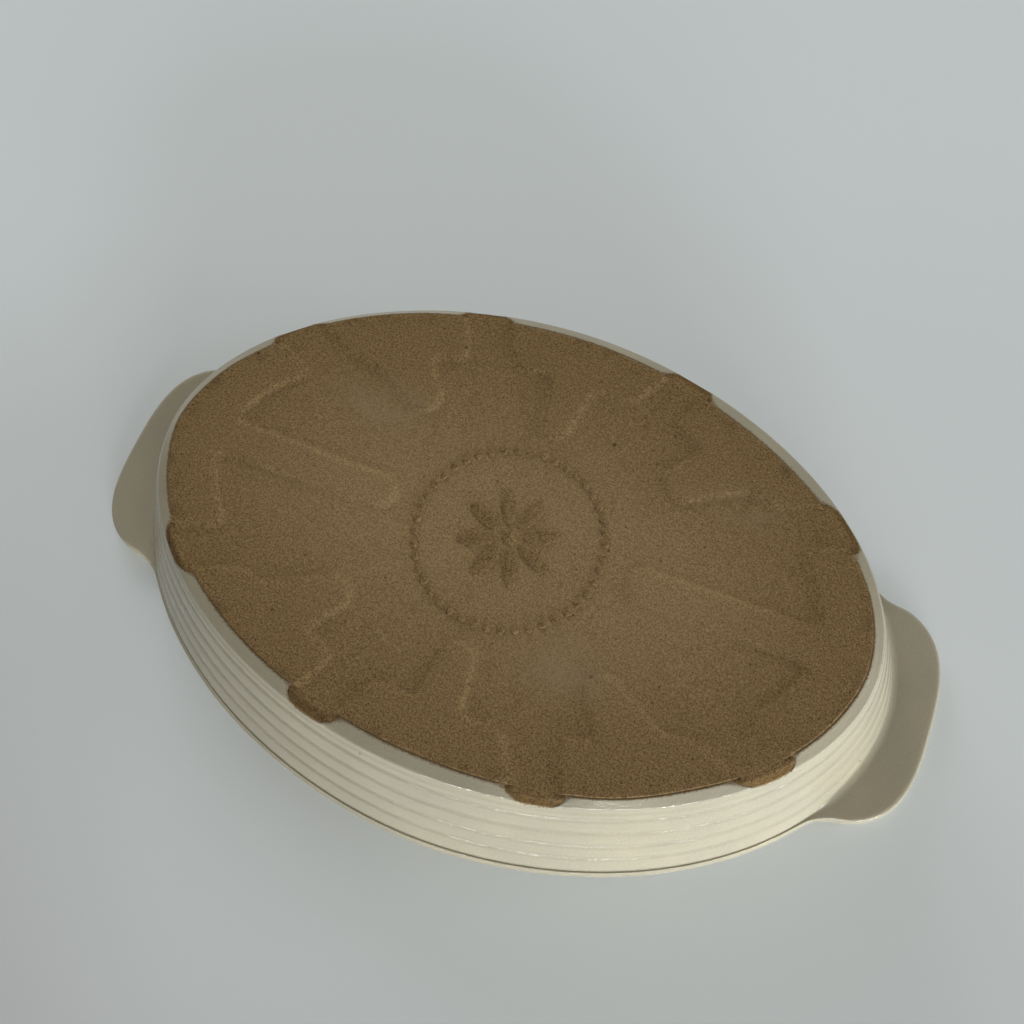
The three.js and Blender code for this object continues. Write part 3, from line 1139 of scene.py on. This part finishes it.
@dataclass
class Medallion:
    """A plain pressed ornament in the middle of the base: a ring of beads round a rosette.

    Attributes:
        base: The body that it stands out from.
    """

    base: StonewareBody
    ring_radius: float = 33.0
    beads: int = 44
    bead_radius: float = 1.5
    petals: int = 8
    petal_middle: float = 11.4
    petal_length: float = 7.2
    petal_width: float = 2.8
    button_radius: float = 2.8
    height: float = 0.8
    dome_segments: int = 20
    dome_rings: int = 12

    def dome(self, bm: BMesh, spot: Vector, turn: float, length: float, width: float) -> None:
        """Adds a low dome that is half sunk in the base.

        Args:
            bm: The shape that it joins.
            spot: Its place in plan, mm.
            turn: The direction of its length.
            length: Half its length, mm.
            width: Half its width, mm.
        """
        made = bmesh.ops.create_uvsphere(
            bm, u_segments=self.dome_segments, v_segments=self.dome_rings, radius=1.0
        )
        bmesh.ops.scale(bm, vec=(length, width, self.height), verts=made["verts"])
        bmesh.ops.rotate(bm, cent=(0, 0, 0), matrix=Matrix.Rotation(turn, 3, "Z"), verts=made["verts"])
        level = self.base.relief(spot.x, spot.y)
        bmesh.ops.translate(bm, vec=(spot.x, spot.y, level), verts=made["verts"])

    def build(self, finish: Material) -> Object:
        """Models the ornament.

        Args:
            finish: Its material.

        Returns:
            The piece.
        """
        bm = bmesh.new()
        for i in range(self.beads):
            turn = FULL_TURN * i / self.beads
            spot = Vector((math.cos(turn), math.sin(turn))) * self.ring_radius
            self.dome(bm, spot, turn, self.bead_radius, self.bead_radius)
        for i in range(self.petals):
            turn = FULL_TURN * (i + 0.5) / self.petals
            spot = Vector((math.cos(turn), math.sin(turn))) * self.petal_middle
            self.dome(bm, spot, turn, self.petal_length, self.petal_width)
        self.dome(bm, Vector((0.0, 0.0)), 0.0, self.button_radius, self.button_radius)
        return finished(bm, "base_medallion", finish)


@dataclass
class GlazeCoat:
    """The skin of glaze over the ledge, the ribbed wall, the rim and both handles.

    Attributes:
        form: The sizes that it shares with the clay.
        section: The lines that it shares with the clay.
    """

    form: DishForm
    section: Section
    plain_columns: int = 480
    side_columns: int = 5
    side_step: float = 0.0033
    thickness: float = 0.5
    edge_width: float = 0.8
    gap_edge: float = 0.7
    thin_width: float = 1.9
    gap_sink: float = 0.45
    gap_merge: float = 0.001

    def turns(self) -> list[float]:
        """Turns of the columns, closer together beside the gaps in the glaze."""
        form = self.form
        middle = form.base - form.ledge_width / 2
        sides = []
        for quarter in ((1, 1), (1, -1), (-1, 1), (-1, -1)):
            for angle in form.channel_angles(*quarter):
                way = Vector((math.cos(math.radians(angle)), math.sin(math.radians(angle))))
                reach = form.oval.point(middle, form.oval.turn_of(middle, way.x, way.y)).length
                for side in (-1, 1):
                    spot = way * reach + Vector((-way.y, way.x)) * side * form.channel_width / 2
                    sides.append(form.oval.turn_of(middle, spot.x * quarter[0], spot.y * quarter[1]))
        window = self.side_columns * self.side_step
        columns = []
        for i in range(self.plain_columns):
            turn = -math.pi + FULL_TURN * (i + 0.5) / self.plain_columns
            if all(abs(turn - side) > window for side in sides):
                columns.append(turn)
        for side in sides:
            columns += [side + self.side_step * k for k in range(-self.side_columns, self.side_columns + 1)]
        return sorted(columns)

    def dip(self, place: float, notch: float) -> float:
        """How far the glaze's face falls towards the clay near its edges, mm."""
        inside = soft_min(place, notch, self.section.corner_rounding)
        share = clamp01(1 - inside / self.edge_width)
        edge = self.thickness * (1 - math.sqrt(1 - share * share))
        return edge + max(0.0, -place) + self.gap_sink * clamp01(-notch / self.gap_edge)

    def column(self, turn: float) -> list[tuple[Vector, bool, float]]:
        """All rows at a turn: up the outer face and back down the inner one.

        Args:
            turn: The outline's own angle.

        Returns:
            Each row's point, mm, whether it lies in a gap, and how thin the glaze is there, from 0 to 1.
        """
        section = self.section
        outer, inner = [], []
        for place in section.low_row_places():
            notch = section.notch(place, turn)
            dip = self.dip(place, notch)
            back = dip + self.thickness * clamp01(1 + notch / self.gap_edge)
            gap = notch < -self.gap_edge
            thin = clamp01(1 - soft_min(place, notch, section.corner_rounding) / self.thin_width)
            outer.append((section.at(*section.low_point(place, dip, turn), turn), gap, thin))
            inner.append((section.at(*section.low_point(place, back, turn), turn), gap, thin))
        for rows, depth, detail in ((outer, 0.0, Detail.FINE), (inner, self.thickness, Detail.COARSE)):
            upper = section.wall_rows(turn, depth, detail)
            upper += section.flange_rows(turn, depth, detail)
            upper += section.mouth_rows(turn, depth, detail)
            rows += [(point, False, 0.0) for point in upper]
        return outer + inner[::-1]

    def build(self, finish: Material) -> Object:
        """Models the coat.

        Args:
            finish: Its material.

        Returns:
            The piece.
        """
        turns = self.turns()
        columns = [self.column(turn) for turn in turns]
        bm = bmesh.new()
        ring = start_ring(bm, len(turns))
        first = list(ring)
        column_layer = bm.verts.layers.int.new("column")
        gap_layer = bm.verts.layers.int.new("gap")
        thin_layer = bm.verts.layers.float.new("thin")
        in_order = sorted(ring_verts(ring), key=lambda v: math.atan2(v.co.y, v.co.x))
        for i, vert in enumerate(in_order):
            vert[column_layer] = i
        for row in range(len(columns[0])):
            if row:
                ring = extrude_row(bm, ring)
            for vert in ring_verts(ring):
                vert.co, gap, vert[thin_layer] = columns[vert[column_layer]][row]
                vert[gap_layer] = int(gap)
        bmesh.ops.bridge_loops(bm, edges=first + ring)
        in_gap = [vert for vert in bm.verts if vert[gap_layer]]
        bmesh.ops.remove_doubles(bm, verts=in_gap, dist=self.gap_merge)
        bare = [face for face in bm.faces if all(vert[gap_layer] for vert in face.verts)]
        bmesh.ops.delete(bm, geom=bare, context="FACES")
        return finished(bm, "glaze_coat", finish)


class Light(Enum):
    """What a lamp does: light the dish, or only glint in its glaze."""

    SOFT = "soft"
    GLINT = "glint"


@dataclass(frozen=True)
class Softbox:
    """A soft lamp beside the turned-over dish.

    Attributes:
        name: Its name.
        turn: Its direction from the dish's right end, degrees.
        height: Its height above the floor, degrees.
        power: Its power, watts.
        size: Its width and height, mm.
        distance: Its distance, mm.
        light: What it does.
    """

    name: str
    turn: float
    height: float
    power: float
    size: tuple[float, float]
    distance: float = 4000.0
    light: Light = Light.SOFT

    @property
    def spot(self) -> Vector:
        """Its place from the middle of the floor that the rim lies on, mm."""
        turn, height = math.radians(self.turn), math.radians(self.height)
        way = Vector((math.cos(turn) * math.cos(height), math.sin(turn) * math.cos(height), math.sin(height)))
        return way * self.distance


@dataclass
class Stage:
    """The floors, lamps and camera round the dish.

    Attributes:
        form: The dish's sizes.
    """

    form: DishForm
    floor_colour: str = "#dce4e7"
    floor_roughness: float = 0.7
    floor_half: float = 2500.0
    floor_gap: float = 0.3
    camera_turn: float = 24.8
    camera_height: float = 72.1
    camera_roll: float = -3.5
    camera_distance: float = 391.2
    lens: float = 35.15
    sensor: float = 36.0
    shift: float = 0.068
    nearest: float = 10.0
    sky: str = "#fff9ef"
    lamp_colour: str = "#f8fbff"
    sky_light: float = 0.47
    side_light: float = 0.17
    overhead_light: float = 1.6
    overhead_angle: float = 40.0
    glints: int = 7
    first_glint: float = -95.0
    glint_step: float = 11.0

    def lamps(self) -> list[Softbox]:
        """The lamps of the main view."""
        lamps = [
            Softbox("window", 18.0, 9.0, 90.0, (2600.0, 1200.0)),
            Softbox("side_window", -54.0, 9.0, 102.0, (2000.0, 1200.0)),
            Softbox("low_window", -40.0, -12.0, 266.0, (2200.0, 1200.0)),
            Softbox("far_fill", 132.0, 14.0, 96.0, (2600.0, 1200.0)),
        ]
        for i in range(self.glints):
            turn = self.first_glint + self.glint_step * i
            lamps.append(Softbox(f"glint_{i}", turn, 12.0, 14.0, (220.0, 250.0), 3000.0, Light.GLINT))
        return lamps + [Softbox("tab_glint", -36.0, 40.0, 1.2, (200.0, 200.0), 3000.0, Light.GLINT)]

    def floor(self, name: str, level: float, facing: Facing, only_seen: bool) -> Object:
        """A pale floor that shows only from its own side.

        Args:
            name: The floor's name.
            level: Its level in the frame, mm.
            facing: The side that it shows on.
            only_seen: Whether it is kept out of reflections.

        Returns:
            The floor.
        """
        bm = bmesh.new()
        bmesh.ops.create_grid(bm, x_segments=4, y_segments=4, size=self.floor_half * MM)
        bmesh.ops.translate(bm, vec=(0, 0, level * MM), verts=bm.verts)
        if facing is Facing.DOWN:
            bmesh.ops.reverse_faces(bm, faces=bm.faces)
        mesh = bpy.data.meshes.new(name)
        bm.to_mesh(mesh)
        bm.free()
        floor = placed(name, mesh)
        mesh.materials.append(self.floor_finish())
        floor.visible_diffuse = False
        floor.visible_shadow = False
        floor.visible_transmission = False
        floor.visible_glossy = not only_seen
        return floor

    def floor_finish(self) -> Material:
        """Matt pale floor, clear from behind, with painted shade in one corner and painted light at the far
        side.
        """
        made, tree, place = new_material("pale_floor")
        colour: Any = srgb(self.floor_colour)
        # Painted shade in the near corner and painted light at the far side: each one's tone, its direction
        # in plan, and where it begins and is full, mm
        for tone, way, start, end in (
            ("#c2c6c7", (-0.417, 0.909, 0.0), 110.0, 280.0),
            ("#e0e9ec", (-0.42, -0.908, 0.0), 50.0, 220.0),
        ):
            along = add(tree, "VectorMath", {0: place, 1: way}, "Value", operation="DOT_PRODUCT")
            ends = {"Value": along, "From Min": start * MM, "From Max": end * MM}
            share = add(tree, "MapRange", ends, interpolation_type="SMOOTHSTEP")
            colour = add(tree, "Mix", {MIX_SHARE: share, MIX_A: colour, MIX_B: srgb(tone)}, **COLOURS)
        shader = tree.nodes["Principled BSDF"]
        feed(tree, shader, {"Base Color": colour, "Roughness": self.floor_roughness})
        back = add(tree, "NewGeometry", {}, "Backfacing")
        clear = add(tree, "BsdfTransparent", {})
        mixed = add(tree, "MixShader", {0: back, 1: shader.outputs["BSDF"], 2: clear})
        feed(tree, tree.nodes["Material Output"], {"Surface": mixed})
        return made

    def turned_over(self, spot: Vector) -> Vector:
        """A place on the floor that the dish lies on with its rim, in the frame, mm."""
        return Vector((spot.x, -spot.y, self.form.height - spot.z))

    def hang(self, softbox: Softbox) -> None:
        """Hangs a soft lamp, which the camera doesn't see, and aims it at the middle of the rim."""
        data = bpy.data.lights.new(softbox.name, "AREA")
        data.shape = "RECTANGLE"
        data.size, data.size_y = softbox.size[0] * MM, softbox.size[1] * MM
        data.energy = softbox.power
        data.color = srgb(self.lamp_colour)[:3]
        lamp = placed(softbox.name, data)
        lamp.location = self.turned_over(softbox.spot) * MM
        aim = Vector((0, 0, self.form.height * MM)) - lamp.location
        lamp.rotation_mode = "QUATERNION"
        lamp.rotation_quaternion = aim.to_track_quat("-Z", "Y")
        lamp.visible_camera = False
        lamp.visible_glossy = softbox.light is Light.GLINT
        lamp.visible_diffuse = softbox.light is Light.SOFT

    def overhead(self) -> None:
        """A sun straight above the upright dish, which lights its inside and its floor."""
        data = bpy.data.lights.new("overhead", "SUN")
        data.energy = self.overhead_light
        data.angle = math.radians(self.overhead_angle)
        placed("overhead", data)

    def light(self) -> None:
        """The sky all round, the lamps of the main view and the overhead one."""
        world = bpy.data.worlds.new("studio")
        world.use_nodes = True
        tree = world.node_tree
        way = add(tree, "NewGeometry", {}, "Normal")
        share = add(tree, "MapRange", {"Value": add(tree, "SeparateXYZ", {0: way}, "Z"), "From Min": 0.0})
        ends = {"To Min": self.side_light, "To Max": self.sky_light}
        strength = add(tree, "MapRange", {"Value": share, **ends})
        feed(tree, tree.nodes["Background"], {"Color": srgb(self.sky), "Strength": strength})
        bpy.context.scene.world = world
        for softbox in self.lamps():
            self.hang(softbox)
        self.overhead()

    def camera(self) -> None:
        """The camera of the main view, over the turned-over dish."""
        turn, height = math.radians(self.camera_turn), math.radians(self.camera_height)
        roll = math.radians(self.camera_roll)
        flat = Vector((-math.sin(turn), math.cos(turn), 0.0)) * math.cos(height)
        ahead = flat - Vector((0.0, 0.0, math.sin(height)))
        level = Vector((math.cos(turn), math.sin(turn), 0.0))
        upright = level.cross(ahead)
        right = level * math.cos(roll) + upright * math.sin(roll)
        up = upright * math.cos(roll) - level * math.sin(roll)
        flip = Matrix.Diagonal((1, -1, -1))
        axes = [flip @ right, flip @ up, flip @ -ahead]
        data = bpy.data.cameras.new("camera")
        data.lens = self.lens
        data.sensor_width = self.sensor
        data.shift_y = self.shift
        data.clip_start = self.nearest * MM
        camera = placed("camera", data)
        place = self.turned_over(-ahead * self.camera_distance) * MM
        camera.matrix_world = Matrix.Translation(place) @ Matrix(axes).transposed().to_4x4()
        bpy.context.scene.camera = camera

    def build(self) -> None:
        """Sets up the floors, the light, the camera and plain colour."""
        self.floor("rim_floor", self.form.height + self.floor_gap, Facing.DOWN, False)
        self.floor("foot_floor", -self.floor_gap, Facing.UP, True)
        self.light()
        self.camera()
        bpy.context.scene.view_settings.view_transform = "Standard"


def dish_form() -> DishForm:
    """Reads the dish's main sizes from the frame.

    Returns:
        The sizes, mm.
    """
    _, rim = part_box("glaze_coat")
    _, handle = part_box("right_handle")
    rim, handle = rim / MM, handle / MM
    oval = Oval(spread=rim.x - rim.y, exponent=1.92)
    return DishForm(oval=oval, height=rim.z, rim=rim.y, reach=handle.x, handle_half=handle.y)


def main() -> None:
    """Builds the dish's pieces and the stage."""
    logging.basicConfig(level=logging.INFO, format="%(message)s")
    form = dish_form()
    section = Section(form)
    clay = BareStoneware().material()
    base = StonewareBody(form, section)
    body = base.build(clay)
    medallion = Medallion(base).build(clay)
    for piece in (body, medallion):
        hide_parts("stoneware_body")
    coat = GlazeCoat(form, section).build(CreamGlaze().material())
    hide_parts("glaze_coat", "right_handle", "left_handle")
    for piece in (body, medallion, coat):
        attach(piece, "root")
        LOG.info("%s: %d faces", piece.name, len(piece.data.polygons))
    Stage(form).build()


if __name__ == "__main__":
    main()
